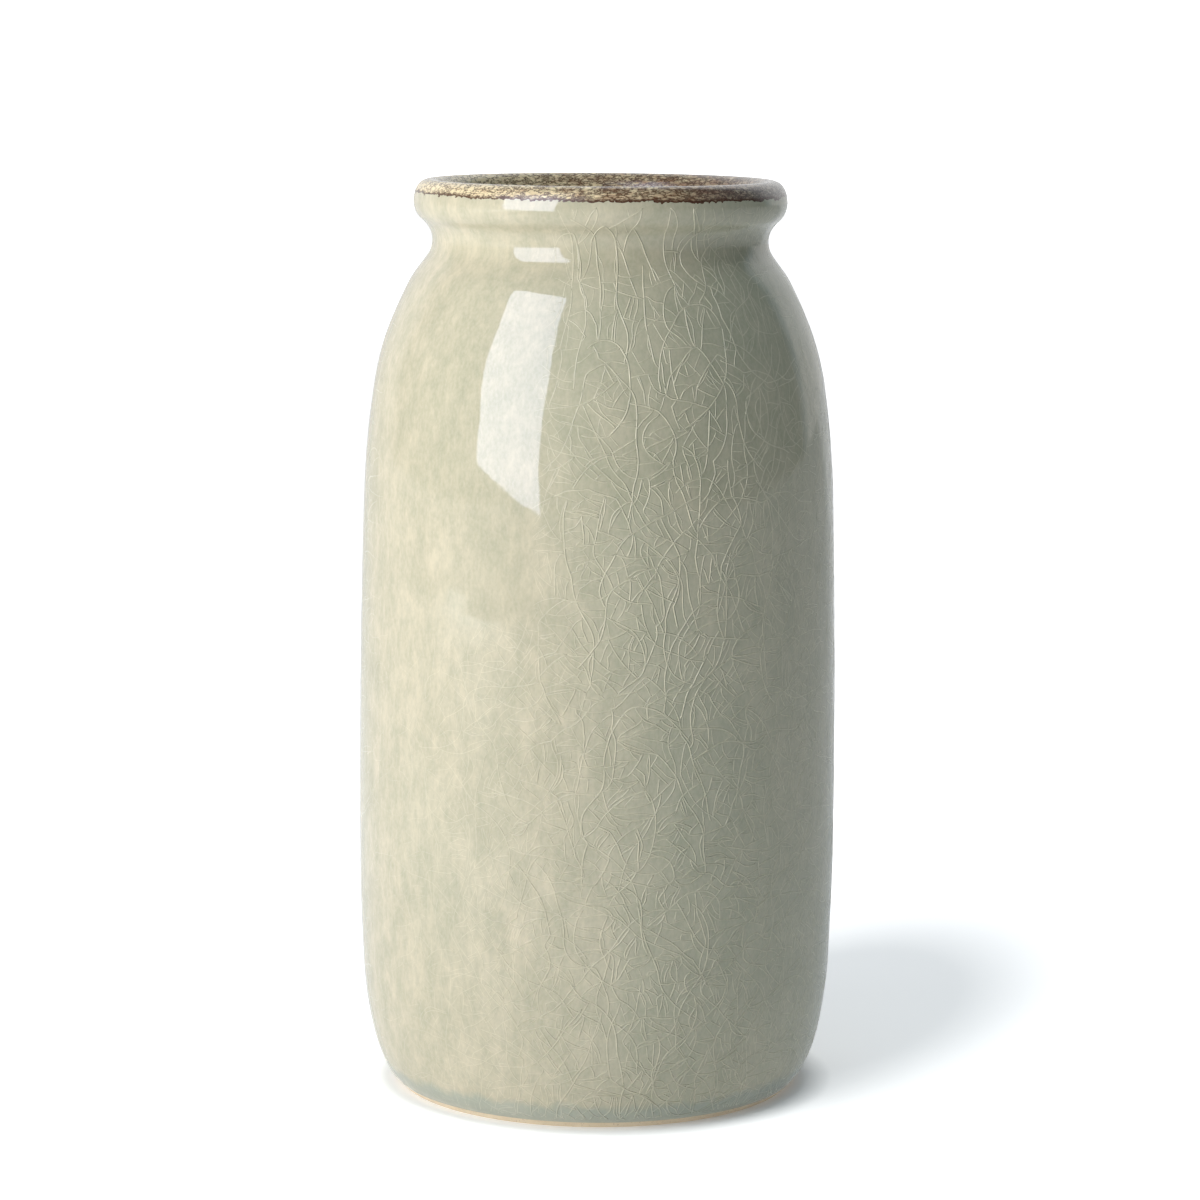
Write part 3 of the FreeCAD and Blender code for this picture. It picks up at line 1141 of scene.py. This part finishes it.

# %% [markdown]
# In the photograph the paper is pure white but for a soft shadow on the right, and a dark line
# where the foot meets it. So it takes the shadow of the lamps and also glows by itself: little
# inside an oval about the shadow, more away from it, and least under the foot. That glow paints
# part of the soft shadow and of the dark line at the foot.

# %% Paper floor
floor = add_sheet("paper_floor", 0.0)
floor.visible_diffuse = False
floor.visible_glossy = False
floor.visible_shadow = False
paper, tree = new_material("white_paper")
place = add_node(tree, "TexCoord", output="Object")
painted_shadow_oval = {"Location": (0.085, 0.085, 0), "Scale": (0.08, 0.19, 1)}
painted_shadow_oval["Rotation"] = (0, 0, math.radians(-20))
away = add_node(tree, "Mapping", Vector=place, **painted_shadow_oval, vector_type="TEXTURE")
away = add_node(tree, "VectorMath", Vector=away, operation="LENGTH", output="Value")
# Painted shadow: the paper glows little inside the oval about the shadow.
span = {"From_Min": 0.5, "From_Max": 1.25}
glow_with_painted_shadow = add_node(tree, "MapRange", Value=away, **span, To_Min=0.36, To_Max=0.95)
from_axis = add_node(tree, "VectorMath", Vector=place, operation="LENGTH", output="Value")
span = {"From_Min": 70 * MM, "From_Max": 80 * MM}
# Painted shadow: the glow is weakest close round the foot, a painted dark line.
painted_foot_shadow = add_node(tree, "MapRange", Value=from_axis, **span, To_Min=0.2)
glow_with_painted_shadow = add_node(tree, "Math", glow_with_painted_shadow, painted_foot_shadow, operation="MULTIPLY")
surface = {**glowing_paper, "Roughness": 1.0, "Emission_Strength": glow_with_painted_shadow}
give(paper, add_node(tree, "BsdfPrincipled", **surface), [floor.data])

# %% [markdown]
# The sheet that the vase sees is a board that throws light up at it and shows in its glaze.
# It is brighter behind the vase and to the left, where the lamps reach it.

# %% Bounce board
board = add_sheet("bounce_board", -0.001)
board.visible_camera = False
white_board, tree = new_material("white_board")
place = add_node(tree, "TexCoord", output="Object")
place = add_node(tree, "Mapping", Vector=place, Rotation=(0, 0, math.radians(-50)))
beyond = add_node(tree, "SeparateXYZ", Vector=place, output="Y")
span = {"From_Min": 0.05, "From_Max": 0.45}
glow = add_node(tree, "MapRange", Value=beyond, **span, To_Min=0.18, To_Max=0.50)
surface = {**glowing_paper, "Roughness": 0.9, "Emission_Strength": glow}
give(white_board, add_node(tree, "BsdfPrincipled", **surface), [board.data])

# %% [markdown]
# ## The room
#
# What a glossy pot mirrors is the room, so the world is graded by direction: a white sheet
# behind the vase, a room that gets darker from left to right, and a ceiling a little brighter
# than the walls. A picture of a real studio would do this too. Ramps are easier to adjust.

# %% How bright the room is in each direction
world = bpy.data.worlds.new("studio")
bpy.context.scene.world = world
world.use_nodes = True
tree = world.node_tree
tree.nodes.clear()
direction = add_node(tree, "TexCoord", output="Generated")
sideways, away, upwards = add_node(tree, "SeparateXYZ", Vector=direction).node.outputs
behind = add_node(tree, "MapRange", Value=away, From_Min=0.48, From_Max=0.64)
span = {"From_Min": -1.0, "From_Max": 0.6}
room = add_node(tree, "MapRange", Value=sideways, **span, To_Min=0.32, To_Max=0.02)
light = add_node(tree, "Mix", Factor=behind, A=room, B=0.95, data_type="FLOAT")
span = {"From_Min": 0.0, "From_Max": 0.6}
ceiling = add_node(tree, "MapRange", Value=upwards, **span, To_Min=0.85, To_Max=1.15)
light = add_node(tree, "Math", light, ceiling, operation="MULTIPLY")
print("The room's brightness takes", len(tree.nodes), "nodes")

# %% [markdown]
# The room is also bluer away from the lamps. The camera itself sees plain white.

# %% World
blue = add_node(tree, "MapRange", Value=sideways, From_Min=-0.8, From_Max=0.4)
blues = {"A": (0.90, 0.96, 1, 1), "B": (0.46, 0.75, 1, 1)}
tint = add_node(tree, "Mix", Factor=blue, **blues, data_type="RGBA")
tint = add_node(tree, "Mix", Factor=behind, A=tint, B=white, data_type="RGBA")
around = add_node(tree, "Background", Color=tint, Strength=light)
backdrop = add_node(tree, "Background", Color=white, Strength=2.0)
seen = add_node(tree, "LightPath", output="Is Camera Ray")
add_node(tree, "OutputWorld", Surface=add_node(tree, "MixShader", seen, around, backdrop))
bpy.context.scene.view_settings.view_transform = "Standard"
print("The studio's world has", len(tree.nodes), "nodes")
